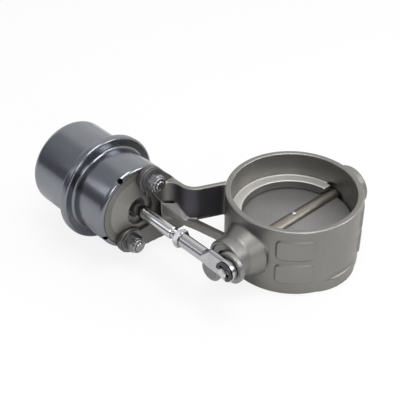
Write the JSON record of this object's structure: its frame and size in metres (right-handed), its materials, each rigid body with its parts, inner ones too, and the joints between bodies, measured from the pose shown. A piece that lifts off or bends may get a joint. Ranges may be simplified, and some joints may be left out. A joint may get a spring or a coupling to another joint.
{
  "type": "exhaust cutout valve",
  "caption": "Ring valve with a butterfly plate on a cross shaft, opened by a diaphragm canister through a pull rod and lever",
  "frame": {"origin": "centre of the ring's bottom face, in the mouth of the lower tube socket", "axes": "+Z along the bore to the upper tube socket, X from the canister to the ring, Y along the shaft, with the lever at -Y"},
  "size_m": [0.1912, 0.1617, 0.07],
  "materials": {
    "casting": "bead blasted stainless casting",
    "canister": "polished drawn sheet",
    "plate_steel": "rolled sheet",
    "turned_steel": "turned",
    "bright_steel": "bright plated",
    "lever_steel": "satin",
    "weld": "weld bead",
    "black_steel": "black oxide",
    "bronze": "sintered",
    "brass": "turned",
    "rubber": "moulded",
    "bump_stop": "moulded",
    "packing": "braided"
  },
  "bodies": {
    "housing": {"valve_body": "casting", "near_bush": "bronze", "far_bush": "bronze", "near_packing": "packing", "near_retainer": "bright_steel", "far_plug": "bright_steel", "front_cup": "canister", "rear_cup": "canister", "diaphragm": "rubber", "return_spring": "turned_steel", "mounting_studs": "bright_steel", "stud_washers": "turned_steel", "stud_nuts": "bright_steel", "hose_nipple": "brass"},
    "turning": {"shaft": "turned_steel", "butterfly_plate": "plate_steel", "plate_weld": "weld", "lever": "lever_steel", "lever_pin": "turned_steel", "e_clip": "black_steel"},
    "pull_rod": {"actuator_rod": "bright_steel", "jam_nut": "bright_steel", "rod_end": "turned_steel", "piston_plate": "plate_steel", "piston_cup": "plate_steel", "piston_nut": "bright_steel", "bump_ring": "bump_stop"}
  },
  "joints": [
    {"name": "shaft_turn", "type": "hinge", "parent": "housing", "child": "turning", "pos_m": [0, -0.045, 0.0236], "axis": [0, -1, 0], "range_deg": [0, 85], "stiffness_Nm_per_rad": 0.25, "springref_deg": -45.84, "deforming": ["return_spring", "diaphragm"]},
    {"name": "rod_swing", "type": "hinge", "parent": "turning", "child": "pull_rod", "pos_m": [0.01608, -0.07183, 0.0355], "axis": [0, -1, 0], "range_deg": [-80, 0]}
  ],
  "couplings": [
    {"joint": "rod_swing", "follows": "shaft_turn", "ratio": -0.93}
  ]
}
